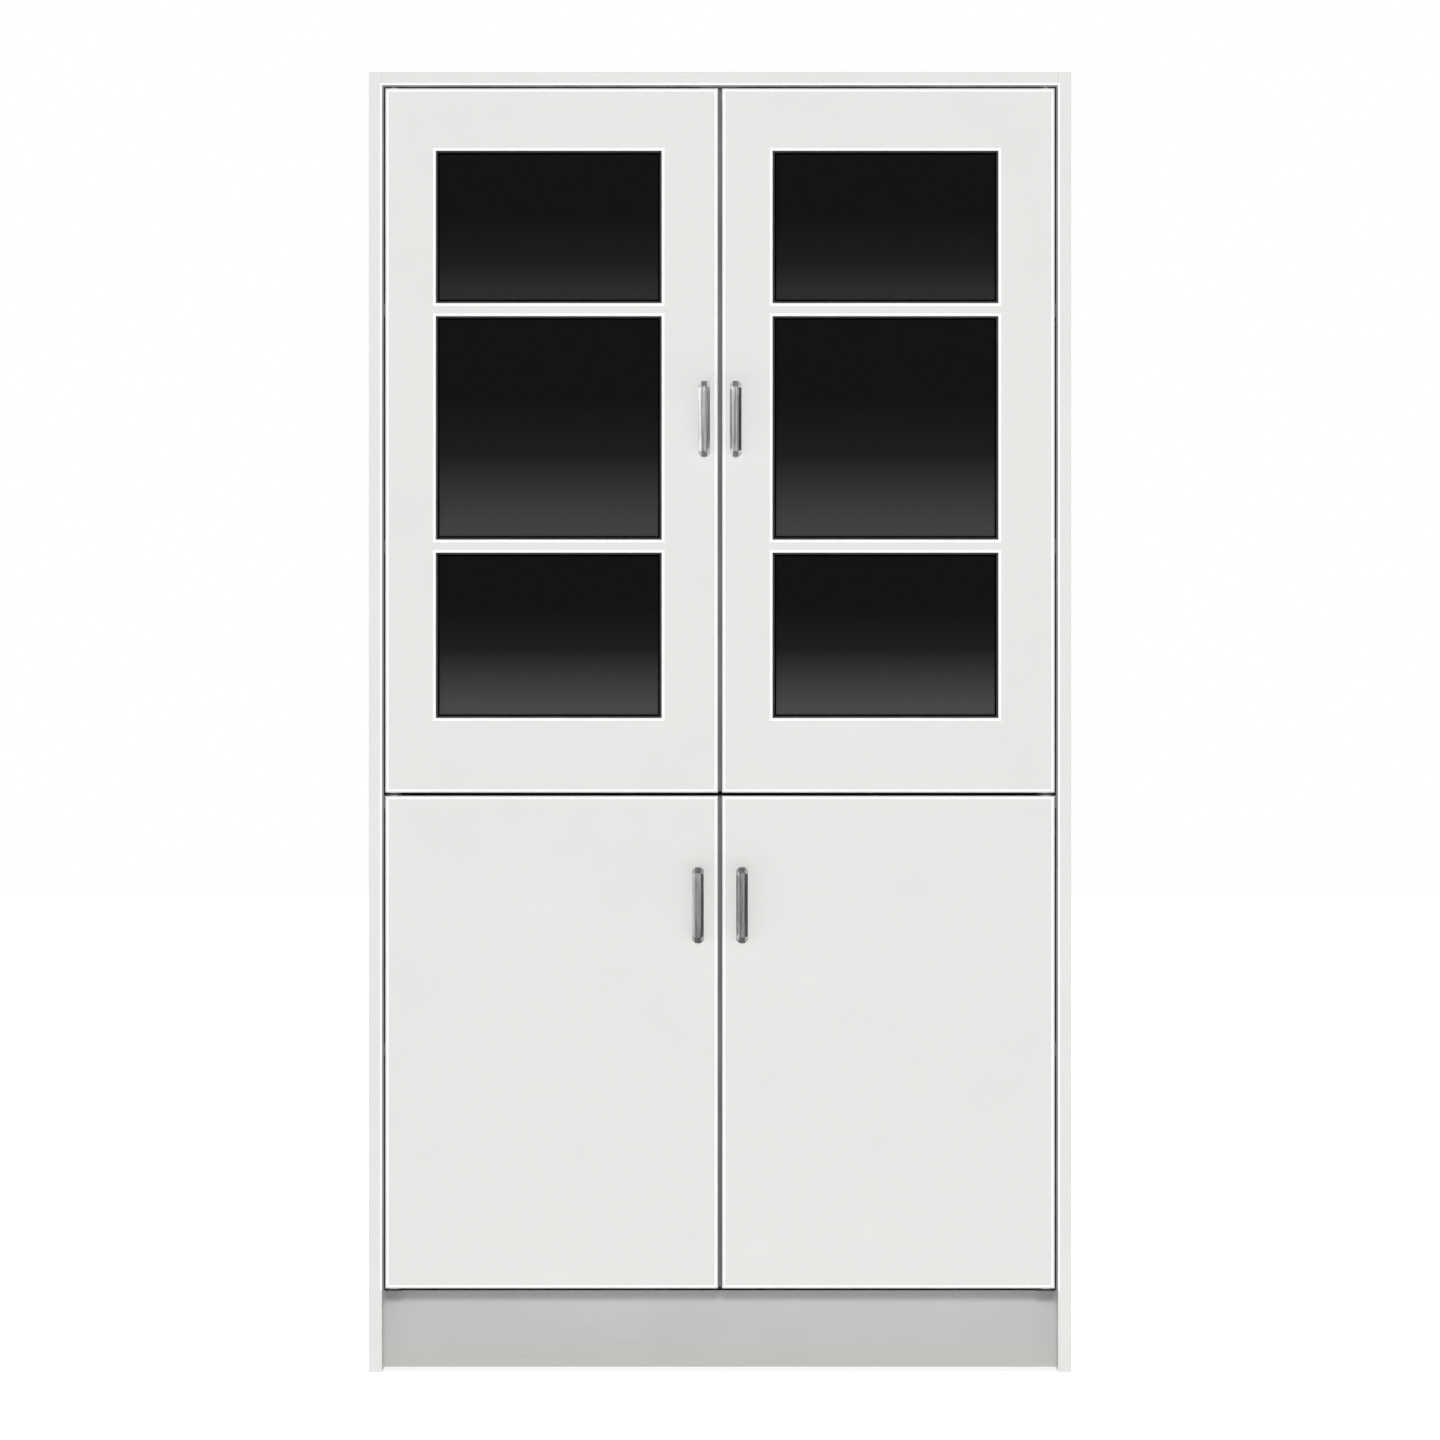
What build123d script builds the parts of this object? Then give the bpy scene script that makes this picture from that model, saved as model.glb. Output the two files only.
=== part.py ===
from build123d import *
import os

# Storage cabinet in faced board: two glazed doors over two plain doors, set between
# full-height sides above a recessed plinth. X runs across, Y from front to back, Z up.
# The origin is on the floor, under the middle of the closed cabinet with its handles.

# Overall size, without the handles
cabinet_width = 972.0
cabinet_height = 1800.0
cabinet_depth = 450.0

# Boards
board = 18.0
edge_radius = 1.0
back_sheet = 5.0
back_inset = 12.0
groove_depth = 7.0
groove_play = 0.2
sheet_end_play = 1.0

# Plinth
plinth_height = 112.0
plinth_setback = 30.0
plinth_floor_gap = 6.0

# Doors
split_height = 800.0
door_gap = 4.5
meeting_gap = 5.5
door_edge_radius = 2.0
swing_play = 4.0

# Windows of the upper doors: both doors are cut alike, not as a mirrored pair
left_stile = 70.0
right_stile = 78.0
top_rail = 86.4
bottom_rail = 103.3
glazing_bar = 18.0
window_height_shares = (0.2815, 0.413, 0.3055)
window_edge_radius = 2.0
glass_lap = 6.0
glass = 5.0
glass_play = 0.5
gasket = 1.5
gasket_lip = 5.0
bead = 3.5

# Shelves
shelf_recess = 20.0
shelf_side_play = 1.0
shelf_back_play = 2.0
lower_shelf_share = 0.5
support_inset = 50.0
support_width = 10.0
support_reach = 9.0
support_height = 7.0
support_nose = 2.5
support_peg_radius = 2.5
support_peg_depth = 8.0
peg_end_play = 1.0
peg_hole_pitch = 32.0
peg_holes_per_row = 5

# Seats of pegs, dowels, screws and bushes
fit_play = 0.1

# Connectors between the sides and the panels that they carry
cam_radius = 7.5
cam_cover = 5.5
cam_setback = 34.0
cam_front_inset = 24.0
cam_back_inset = 60.0
cam_slot_width = 1.6
cam_slot_length = 9.0
cam_slot_depth = 2.5
bolt_radius = 3.0
bolt_play = 0.5
bolt_in_side = 11.0
bolt_in_cam = 5.0
dowel_radius = 4.0
dowel_in_side = 11.0
dowel_in_panel = 23.0
dowel_end_play = 1.0
plinth_dowel_shares = (0.3, 0.7)

# Door pivots: a plate on the carcass, a pin in the plate, a bush in the door's edge
pivot_inset = 12.0
pivot_plate = 3.0
pivot_play = 0.75
plate_width = 24.0
plate_front = 4.0
plate_length = 84.0
plate_corner = 5.0
plate_screw_insets = (12.0, 32.0)
pin_radius = 3.0
pin_reach = 12.0
pin_end_play = 2.0
running_play = 0.05
bush_wall = 1.95
bush_flange = 0.5
bush_flange_lip = 2.0

# Wood screws, with a cross recess for the driver
wood_screw_radius = 1.75
wood_screw_head_radius = 3.5
wood_screw_head = 2.0
wood_screw_length = 12.0
screw_end_play = 1.0
recess_length = 4.2
recess_width = 0.9
recess_depth = 1.0

# Magnetic catches
catch_wall = 3.75
catch_depth = 24.0
catch_height = 18.0
catch_corner = 2.0
catch_clearance = 0.3
catch_screw_inset = 6.0
magnet_width = 14.0
magnet_depth = 5.0
magnet_height = 9.0
magnet_drop = 12.0
strike_width = 20.0
strike_height = 11.0
strike = 1.2
strike_corner = 2.0
strike_inset = 1.0

# Bow handles
handle_pitch = 96.0
handle_width = 16.0
handle_post = 17.0
handle_post_thickness = 9.0
handle_bar_thickness = 7.0
handle_facet = 8.0
handle_inner_facet = 4.0
handle_arch = 2.0
handle_bevel = 4.0
upper_handle_inset = 19.0
upper_handle_rise = 519.5
lower_handle_inset = 27.75
lower_handle_drop = 153.5
handle_screw_radius = 2.0
handle_screw_grip = 8.0
handle_screw_head_radius = 4.0
handle_screw_head = 2.6
handle_screw_head_fillet = 1.2
handle_screw_slot = 1.0
handle_hole_play = 0.2

overrun = 1.0

# Faces and edges that several pieces share
handle_shoulder = handle_post + handle_facet
handle_projection = handle_shoulder + handle_arch
front = (handle_projection - cabinet_depth) / 2
back = front + cabinet_depth
door_back = front + board
inner = cabinet_width / 2 - board
sheet_back = back - back_inset
sheet_front = sheet_back - back_sheet
top_under = cabinet_height - board
middle_top = split_height - pivot_plate / 2
middle_under = middle_top - board
bottom_under = plinth_height - board
plinth_front = front + plinth_setback
plinth_back = plinth_front + board
swing_radius = (pivot_inset**2 + (board / 2) ** 2) ** 0.5
panel_front = front + board / 2 + swing_radius + swing_play
shelf_front = panel_front + shelf_recess
shelf_back = sheet_front - shelf_back_play

# Door outlines
door_width = inner - door_gap - meeting_gap / 2
door_left_edges = {"left": -inner + door_gap, "right": meeting_gap / 2}
stack_half_gap = pivot_plate / 2 + pivot_play
upper_door_low = split_height + stack_half_gap
upper_door_high = top_under - door_gap
lower_door_low = plinth_height + pivot_plate + pivot_play
lower_door_high = split_height - stack_half_gap
door_levels = {"upper": (upper_door_low, upper_door_high), "lower": (lower_door_low, lower_door_high)}
hand_signs = {"left": -1, "right": 1}
pivot_x = inner - door_gap - pivot_inset
pivot_y = front + board / 2
bush_radius = pin_radius + running_play + bush_wall
bush_length = pin_reach + pin_end_play

# Windows, from the top one down, as (lowest, highest) levels
glazed_height = upper_door_high - upper_door_low - top_rail - bottom_rail - 2 * glazing_bar
window_names = ("top", "middle", "bottom")
window_levels = []
level = upper_door_high - top_rail
for share in window_height_shares:
    height = glazed_height * share / sum(window_height_shares)
    window_levels.append((level - height, level))
    level -= height + glazing_bar
window_width = door_width - left_stile - right_stile

# Undersides of the loose shelves: the upper two stand level with the glazing bars
bar_middles = [low - glazing_bar / 2 for low, high in window_levels[:2]]
lower_room = middle_under - plinth_height
shelf_undersides = {
    "upper_shelf": bar_middles[0] - board / 2,
    "middle_shelf": bar_middles[1] - board / 2,
    "lower_shelf": plinth_height + lower_room * lower_shelf_share - board / 2,
}
support_places = (shelf_front + support_inset, shelf_back - support_inset)
peg_drop = support_height / 2
cam_height = board - cam_cover

# Drilling lines that the cam locks and dowels of every held panel share, behind the pivot plates
cam_lines = (front + plate_length + cam_front_inset, sheet_front - cam_back_inset)
dowel_line = sum(cam_lines) / 2

# Panels held between the sides, as (front edge, back edge, underside)
held_panels = {
    "top_panel": (front, back, top_under),
    "middle_panel": (panel_front, sheet_front, middle_under),
    "bottom_panel": (plinth_back, sheet_front, bottom_under),
}
plinths = {
    "front_plinth": (plinth_front, plinth_back, plinth_floor_gap, plinth_height),
    "rear_plinth": (sheet_front - board, sheet_front, plinth_floor_gap, bottom_under),
}

# Pivot plates, as (underside, which way the pins point)
plate_levels = {
    "top_pivot_plates": (top_under - pivot_plate, (-1,)),
    "centre_pivot_plates": (middle_top, (-1, 1)),
    "bottom_pivot_plates": (plinth_height, (1,)),
}
plate_screw_places = [front + plate_length - inset for inset in plate_screw_insets]

# Catches, as the level of the face that carries each
catch_faces = {"upper": top_under, "lower": middle_under}
catch_front = door_back + strike + catch_clearance
magnet_offset = meeting_gap / 2 + strike_inset + strike_width / 2
catch_width = 2 * (magnet_offset + magnet_width / 2 + catch_wall)

back_way = (0, 1, 0)
front_way = (0, -1, 0)
up_way = (0, 0, 1)
down_way = (0, 0, -1)

os.makedirs("parts", exist_ok=True)


def save(piece, name):
    piece.part.label = name
    export_step(piece.part, f"parts/{name}.step")


def slab(x_span, y_span, z_span, mode=Mode.ADD):
    """A block between two levels on each axis, in the part being built."""
    spans = (x_span, y_span, z_span)
    with Locations(tuple((low + high) / 2 for low, high in spans)):
        Box(*(abs(high - low) for low, high in spans), mode=mode)


def rod(start, direction, length, radius, mode=Mode.ADD):
    """A round bar from a point along a direction, in the part being built."""
    with Locations(Plane(origin=start, z_dir=direction)):
        Cylinder(radius, length, align=(Align.CENTER, Align.CENTER, Align.MIN), mode=mode)


def cone(start, direction, length, first_radius, last_radius, mode=Mode.ADD):
    """A tapered bar from a point along a direction, in the part being built."""
    with Locations(Plane(origin=start, z_dir=direction)):
        Cone(first_radius, last_radius, length, align=(Align.CENTER, Align.CENTER, Align.MIN), mode=mode)


def round_front(piece, radius):
    """Rounds the edges at the front of a board."""
    foremost = piece.faces().sort_by(Axis.Y)[0]
    fillet(foremost.edges(), radius)


def plinth_dowel_levels(low, high):
    return [low + (high - low) * share for share in plinth_dowel_shares]


def side_panel(name, sign):
    """A full-height side, with the groove for the back and the bores for what it carries."""
    inner_face = sign * inner
    into_side = (sign, 0, 0)
    with BuildPart() as side:
        slab((inner_face, sign * cabinet_width / 2), (front, back), (0, cabinet_height))
        round_front(side, edge_radius)
        groove = (sheet_front - groove_play, sheet_back + groove_play)
        groove_floor = inner_face + sign * groove_depth
        groove_top = top_under + groove_depth
        slab((inner_face, groove_floor), groove, (bottom_under, groove_top), Mode.SUBTRACT)
        dowel_bore = dowel_in_side + dowel_end_play
        for front_edge, back_edge, underside in held_panels.values():
            middle = underside + board / 2
            for y in cam_lines:
                rod((inner_face, y, middle), into_side, bolt_in_side, bolt_radius + fit_play, Mode.SUBTRACT)
            start = (inner_face, dowel_line, middle)
            rod(start, into_side, dowel_bore, dowel_radius + fit_play, Mode.SUBTRACT)
        for front_edge, back_edge, low, high in plinths.values():
            for z in plinth_dowel_levels(low, high):
                start = (inner_face, (front_edge + back_edge) / 2, z)
                rod(start, into_side, dowel_bore, dowel_radius + fit_play, Mode.SUBTRACT)
        for underside in shelf_undersides.values():
            for y in support_places:
                for step in range(peg_holes_per_row):
                    z = underside - peg_drop + (step - peg_holes_per_row // 2) * peg_hole_pitch
                    start = (inner_face, y, z)
                    depth = support_peg_depth + peg_end_play
                    rod(start, into_side, depth, support_peg_radius + fit_play, Mode.SUBTRACT)
    save(side, name)


def bore_panel_end(sign, underside):
    """The bores for cam locks, their bolts and the dowel at one end of a held panel."""
    end = sign * inner
    middle = underside + board / 2
    into_panel = (-sign, 0, 0)
    cam_bore = cam_radius + fit_play
    for y in cam_lines:
        rod((end - sign * cam_setback, y, underside), up_way, cam_height, cam_bore, Mode.SUBTRACT)
        rod((end, y, middle), into_panel, cam_setback, bolt_radius + bolt_play, Mode.SUBTRACT)
    dowel_bore = dowel_in_panel + dowel_end_play
    rod((end, dowel_line, middle), into_panel, dowel_bore, dowel_radius + fit_play, Mode.SUBTRACT)


def bore_for_wood_screw(place, into, held):
    """The pilot bore of a wood screw in a board, under a piece of a given thickness that it holds."""
    depth = wood_screw_length - held + screw_end_play
    rod(place, into, depth, wood_screw_radius + fit_play, Mode.SUBTRACT)


def bore_for_pivot_plates(face, direction):
    for sign in hand_signs.values():
        for y in plate_screw_places:
            bore_for_wood_screw((sign * pivot_x, y, face), (0, 0, direction), pivot_plate)


def bore_for_catch(face):
    for sign in hand_signs.values():
        x = sign * (catch_width / 2 - catch_screw_inset)
        bore_for_wood_screw((x, catch_front + catch_depth / 2, face), up_way, 0)


def held_panel(name):
    """A board between the sides, cam-locked at both ends."""
    front_edge, back_edge, underside = held_panels[name]
    with BuildPart() as panel:
        slab((-inner, inner), (front_edge, back_edge), (underside, underside + board))
        if name != "bottom_panel":
            upper_and_lower = panel.faces().sort_by(Axis.Y)[0].edges().filter_by(Axis.X)
            fillet(upper_and_lower, edge_radius)
        for sign in hand_signs.values():
            bore_panel_end(sign, underside)
        if name == "top_panel":
            groove = (sheet_front - groove_play, sheet_back + groove_play)
            slab((-inner, inner), groove, (underside, underside + groove_depth), Mode.SUBTRACT)
            bore_for_pivot_plates(underside, 1)
        else:
            bore_for_pivot_plates(underside + board, -1)
        if underside in catch_faces.values():
            bore_for_catch(underside)
    save(panel, name)


def back_sheets():
    """Two thin sheets in the grooves, which meet behind the middle panel."""
    reach = inner + groove_depth - sheet_end_play
    joint = middle_under + board / 2
    levels = {
        "upper_back_panel": (joint + sheet_end_play / 2, top_under + groove_depth - sheet_end_play),
        "lower_back_panel": (bottom_under, joint - sheet_end_play / 2),
    }
    for name, level_span in levels.items():
        with BuildPart() as sheet:
            slab((-reach, reach), (sheet_front, sheet_back), level_span)
        save(sheet, name)


def plinth_board(name):
    """An upright board under the floor of the cabinet, dowelled to the sides."""
    front_edge, back_edge, low, high = plinths[name]
    middle = (front_edge + back_edge) / 2
    with BuildPart() as plinth:
        slab((-inner, inner), (front_edge, back_edge), (low, high))
        for sign in hand_signs.values():
            for z in plinth_dowel_levels(low, high):
                bore = dowel_in_panel + dowel_end_play
                rod((sign * inner, middle, z), (-sign, 0, 0), bore, dowel_radius + fit_play, Mode.SUBTRACT)
    save(plinth, name)


def loose_shelf(name):
    underside = shelf_undersides[name]
    reach = inner - shelf_side_play
    with BuildPart() as shelf:
        slab((-reach, reach), (shelf_front, shelf_back), (underside, underside + board))
        round_front(shelf, edge_radius)
    save(shelf, name)


def shelf_supports():
    """Push-in pegs with a flat top that the shelves rest on."""
    with BuildPart() as supports:
        for underside in shelf_undersides.values():
            for sign in hand_signs.values():
                for y in support_places:
                    wall = sign * inner
                    tip = wall - sign * support_reach
                    with BuildSketch(Plane.XZ.offset(-y)):
                        with BuildLine():
                            Polyline(
                                (wall, underside),
                                (tip, underside),
                                (tip, underside - support_nose),
                                (wall, underside - support_height),
                                close=True,
                            )
                        make_face()
                    extrude(amount=support_width / 2, both=True)
                    start = (wall, y, underside - peg_drop)
                    rod(start, (sign, 0, 0), support_peg_depth, support_peg_radius)
    save(supports, "shelf_supports")


def cam_locks():
    """Discs in the undersides of the held panels, each with a driver slot and a mouth for its bolt."""
    with BuildPart() as cams:
        for front_edge, back_edge, underside in held_panels.values():
            for sign in hand_signs.values():
                for y in cam_lines:
                    x = sign * (inner - cam_setback)
                    rod((x, y, underside), up_way, cam_height, cam_radius)
                    slot_top = underside + cam_slot_depth
                    half_length = cam_slot_length / 2
                    half_width = cam_slot_width / 2
                    for half_x, half_y in ((half_length, half_width), (half_width, half_length)):
                        spans = ((x - half_x, x + half_x), (y - half_y, y + half_y), (underside, slot_top))
                        slab(*spans, Mode.SUBTRACT)
                    mouth = (x + sign * cam_radius, y, underside + board / 2)
                    rod(mouth, (-sign, 0, 0), bolt_in_cam, bolt_radius + fit_play, Mode.SUBTRACT)
    save(cams, "cam_locks")


def cam_bolts():
    """Bolts from the sides into the cam locks."""
    length = bolt_in_side + cam_setback - cam_radius + bolt_in_cam
    with BuildPart() as bolts:
        for front_edge, back_edge, underside in held_panels.values():
            for sign in hand_signs.values():
                for y in cam_lines:
                    start = (sign * (inner + bolt_in_side), y, underside + board / 2)
                    rod(start, (-sign, 0, 0), length, bolt_radius)
    save(bolts, "cam_bolts")


def wood_dowels():
    """Beech dowels that line the held panels and the plinths up with the sides."""
    length = dowel_in_side + dowel_in_panel
    places = []
    for front_edge, back_edge, underside in held_panels.values():
        places.append((dowel_line, underside + board / 2))
    for front_edge, back_edge, low, high in plinths.values():
        for z in plinth_dowel_levels(low, high):
            places.append(((front_edge + back_edge) / 2, z))
    with BuildPart() as dowels:
        for sign in hand_signs.values():
            for y, z in places:
                rod((sign * (inner + dowel_in_side), y, z), (-sign, 0, 0), length, dowel_radius)
    save(dowels, "wood_dowels")


def screw_head_is_low(name):
    """Whether a plate's screws go in from below."""
    return name == "top_pivot_plates"


def pivot_plates(name):
    """Steel plates on the carcass that carry the pivot pins, one at each side."""
    underside = plate_levels[name][0]
    with BuildPart() as plates:
        for sign in hand_signs.values():
            x = sign * pivot_x
            with BuildSketch(Plane.XY.offset(underside)):
                with Locations((x, front + (plate_front + plate_length) / 2)):
                    RectangleRounded(plate_width, plate_length - plate_front, plate_corner)
            extrude(amount=pivot_plate)
            rod((x, pivot_y, underside), up_way, pivot_plate, pin_radius + fit_play, Mode.SUBTRACT)
            for y in plate_screw_places:
                low = screw_head_is_low(name)
                face = underside if low else underside + pivot_plate
                way = (0, 0, 1 if low else -1)
                rod((x, y, face), way, pivot_plate, wood_screw_radius + fit_play, Mode.SUBTRACT)
                wide = wood_screw_head_radius + fit_play
                narrow = wood_screw_radius + fit_play
                cone((x, y, face), way, wood_screw_head, wide, narrow, Mode.SUBTRACT)
    save(plates, name)


def pivot_pins():
    """Steel pins pressed into the plates; the centre ones serve the door above and the door below."""
    reach = pivot_play + pin_reach
    with BuildPart() as pins:
        for underside, ways in plate_levels.values():
            low = underside - (reach if -1 in ways else 0)
            high = underside + pivot_plate + (reach if 1 in ways else 0)
            for sign in hand_signs.values():
                rod((sign * pivot_x, pivot_y, low), up_way, high - low, pin_radius)
    save(pins, "pivot_pins")


def cross_recess(place, way):
    """The driver's cross in the head of a screw, in the part being built."""
    with Locations(Plane(origin=place, z_dir=way)):
        for slot in ((recess_length, recess_width), (recess_width, recess_length)):
            Box(*slot, recess_depth, align=(Align.CENTER, Align.CENTER, Align.MIN), mode=Mode.SUBTRACT)


def wood_screw(place, way, head):
    """A countersunk wood screw with its head flush at a point, in the part being built."""
    rod(place, way, wood_screw_length, wood_screw_radius)
    cone(place, way, head, wood_screw_head_radius, wood_screw_radius)
    cross_recess(place, way)


def pivot_plate_screws():
    with BuildPart() as screws:
        for name, (underside, ways) in plate_levels.items():
            low = screw_head_is_low(name)
            face = underside if low else underside + pivot_plate
            for sign in hand_signs.values():
                for y in plate_screw_places:
                    wood_screw((sign * pivot_x, y, face), (0, 0, 1 if low else -1), wood_screw_head)
    save(screws, "pivot_plate_screws")


def magnet_spans(sign, face):
    x = sign * magnet_offset
    z = face - magnet_drop
    across = (x - magnet_width / 2, x + magnet_width / 2)
    level = (z - magnet_height / 2, z + magnet_height / 2)
    return across, (catch_front, catch_front + magnet_depth), level


def catch_housings():
    """Plastic bodies of the double catches, with a pocket for each magnet."""
    with BuildPart() as housings:
        for face in catch_faces.values():
            with BuildSketch(Plane.XY.offset(face - catch_height)):
                with Locations((0, catch_front + catch_depth / 2)):
                    RectangleRounded(catch_width, catch_depth, catch_corner)
            extrude(amount=catch_height)
            for sign in hand_signs.values():
                slab(*magnet_spans(sign, face), Mode.SUBTRACT)
                x = sign * (catch_width / 2 - catch_screw_inset)
                start = (x, catch_front + catch_depth / 2, face - catch_height)
                head = wood_screw_head_radius + fit_play
                rod(start, up_way, catch_height, wood_screw_radius + fit_play, Mode.SUBTRACT)
                rod(start, up_way, catch_height / 2, head, Mode.SUBTRACT)
    save(housings, "catch_housings")


def catch_magnets():
    with BuildPart() as magnets:
        for face in catch_faces.values():
            for sign in hand_signs.values():
                slab(*magnet_spans(sign, face))
    save(magnets, "catch_magnets")


def catch_screws():
    """Pan-head screws up through the catch housings."""
    length = catch_height / 2 + wood_screw_length
    with BuildPart() as screws:
        for face in catch_faces.values():
            for sign in hand_signs.values():
                x = sign * (catch_width / 2 - catch_screw_inset)
                y = catch_front + catch_depth / 2
                seat = face - catch_height / 2
                rod((x, y, seat), up_way, length, wood_screw_radius)
                rod((x, y, seat), down_way, wood_screw_head, wood_screw_head_radius)
                cross_recess((x, y, seat - wood_screw_head), up_way)
    save(screws, "catch_screws")


def window_span(hand):
    low = door_left_edges[hand] + left_stile
    return low, low + window_width


def grown(span, amount):
    return span[0] - amount, span[1] + amount


def handle_place(row, hand):
    """The middle of a handle, across and up, and the levels of its two posts."""
    inset = upper_handle_inset if row == "upper" else lower_handle_inset
    offset = upper_handle_rise if row == "upper" else -lower_handle_drop
    height = split_height + offset
    x = hand_signs[hand] * (meeting_gap / 2 + inset)
    return x, height, (height - handle_pitch / 2, height + handle_pitch / 2)


def strike_place(row, hand):
    return hand_signs[hand] * magnet_offset, catch_faces[row] - magnet_drop


def door_panel(row, hand):
    """A door board; an upper one has three windows, each rebated behind for its glass."""
    low, high = door_levels[row]
    left_edge = door_left_edges[hand]
    x = hand_signs[hand] * pivot_x
    with BuildPart() as panel:
        slab((left_edge, left_edge + door_width), (front, door_back), (low, high))
        round_front(panel, door_edge_radius)
        if row == "upper":
            across = window_span(hand)
            through = grown((front, door_back), overrun)
            rebate = (door_back - gasket - glass - bead, door_back)
            for window in window_levels:
                slab(across, through, window, Mode.SUBTRACT)
            foremost = panel.faces().sort_by(Axis.Y)[0]
            fillet([edge for wire in foremost.inner_wires() for edge in wire.edges()], window_edge_radius)
            for window in window_levels:
                slab(grown(across, glass_lap), rebate, grown(window, glass_lap), Mode.SUBTRACT)
        bush_bore = bush_radius + fit_play
        rod((x, pivot_y, low), up_way, bush_length, bush_bore, Mode.SUBTRACT)
        rod((x, pivot_y, high), down_way, bush_length, bush_bore, Mode.SUBTRACT)
        handle_x, middle, posts = handle_place(row, hand)
        for z in posts:
            bore = handle_screw_radius + handle_hole_play
            rod((handle_x, front, z), back_way, board, bore, Mode.SUBTRACT)
        strike_x, strike_z = strike_place(row, hand)
        bore_for_wood_screw((strike_x, door_back, strike_z), front_way, strike)
    save(panel, f"{row}_{hand}_door_panel")


def door_glass(hand):
    """One pane for each window, and the gaskets and beads that hold the panes in their rebates."""
    across = window_span(hand)
    seat = grown(across, glass_lap)
    bead_front = door_back - bead
    glass_front = bead_front - glass
    for name, window in zip(window_names, window_levels):
        with BuildPart() as pane:
            slab(grown(seat, -glass_play), (glass_front, bead_front), grown(window, glass_lap - glass_play))
        save(pane, f"upper_{hand}_{name}_glass")
    with BuildPart() as gaskets:
        for window in window_levels:
            depth = (glass_front - gasket, glass_front)
            slab(seat, depth, grown(window, glass_lap))
            slab(grown(across, -gasket_lip), depth, grown(window, -gasket_lip), Mode.SUBTRACT)
    save(gaskets, f"upper_{hand}_glazing_gaskets")
    with BuildPart() as beads:
        for window in window_levels:
            slab(seat, (bead_front, door_back), grown(window, glass_lap))
            slab(across, (bead_front, door_back), window, Mode.SUBTRACT)
    save(beads, f"upper_{hand}_glazing_beads")


def pivot_bushes(row, hand):
    """Flanged plastic bushes in the top and bottom edges of a door, on its pivot axis."""
    low, high = door_levels[row]
    x = hand_signs[hand] * pivot_x
    length = bush_length + bush_flange
    with BuildPart() as bushes:
        for z, way in ((low, 1), (high, -1)):
            start = (x, pivot_y, z - way * bush_flange)
            into_door = (0, 0, way)
            rod(start, into_door, length, bush_radius)
            rod(start, into_door, bush_flange, bush_radius + bush_flange_lip)
            rod(start, into_door, length, pin_radius + running_play, Mode.SUBTRACT)
    save(bushes, f"{row}_{hand}_pivot_bushes")


def handle_outline(x, middle, half_length, shoulder, facet):
    """Half a hoop on the door's face: posts, sloping facets and an arched bar, seen from the side."""
    post = front - shoulder + facet
    bar = front - shoulder
    low, high = middle - half_length, middle + half_length
    with BuildSketch(Plane.YZ.offset(x)) as outline:
        with BuildLine():
            Polyline((front, low), (post, low), (bar, low + facet))
            ThreePointArc((bar, low + facet), (bar - handle_arch, middle), (bar, high - facet))
            Polyline((bar, high - facet), (post, high), (front, high), (front, low))
        make_face()
    return outline.sketch


def handle(row, hand):
    """A bow handle: two posts and an arched bar, with facets where they meet and bevelled flanks."""
    x, middle, posts = handle_place(row, hand)
    half_post = handle_post_thickness / 2
    outer = handle_outline(x, middle, handle_pitch / 2 + half_post, handle_shoulder, handle_facet)
    inner_shoulder = handle_shoulder - handle_bar_thickness
    hollow = handle_outline(x, middle, handle_pitch / 2 - half_post, inner_shoulder, handle_inner_facet)
    with BuildPart() as bow:
        extrude(outer, amount=handle_width / 2, both=True)
        flanks = bow.faces().filter_by(Axis.X).edges()
        chamfer([edge for group in flanks.group_by(Axis.Y)[:-1] for edge in group], handle_bevel)
        extrude(hollow, amount=handle_width, both=True, mode=Mode.SUBTRACT)
        for z in posts:
            bore = handle_screw_radius + fit_play
            rod((x, front, z), front_way, handle_screw_grip, bore, Mode.SUBTRACT)
    save(bow, f"{row}_{hand}_handle")


def handle_screws(row, hand):
    """Pan-head machine screws from the back of a door into the posts of its handle."""
    x, middle, posts = handle_place(row, hand)
    with BuildPart() as screws:
        for z in posts:
            rod((x, door_back, z), back_way, handle_screw_head, handle_screw_head_radius)
        rims = screws.faces().group_by(Axis.Y)[-1].edges()
        fillet(rims, handle_screw_head_fillet)
        for z in posts:
            rod((x, door_back, z), front_way, board + handle_screw_grip, handle_screw_radius)
            top = door_back + handle_screw_head
            across = (x - handle_screw_radius, x + handle_screw_radius)
            slot = (z - handle_screw_slot / 2, z + handle_screw_slot / 2)
            slab(across, (top - handle_screw_slot, top), slot, Mode.SUBTRACT)
    save(screws, f"{row}_{hand}_handle_screws")


def strike_plate(row, hand):
    """A steel plate on the back of a door, which the catch's magnet holds."""
    x, z = strike_place(row, hand)
    with BuildPart() as plate:
        with BuildSketch(Plane.XZ.offset(-door_back)):
            with Locations((x, z)):
                RectangleRounded(strike_width, strike_height, strike_corner)
        extrude(amount=-strike)
        wide = wood_screw_head_radius + fit_play
        narrow = wood_screw_radius + fit_play
        cone((x, door_back + strike, z), front_way, strike, wide, narrow, Mode.SUBTRACT)
    save(plate, f"{row}_{hand}_strike_plate")


def strike_screw(row, hand):
    """A countersunk screw, flush with the strike plate so that the magnet can meet it."""
    x, z = strike_place(row, hand)
    with BuildPart() as screw:
        wood_screw((x, door_back + strike, z), front_way, strike)
    save(screw, f"{row}_{hand}_strike_screw")


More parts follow.
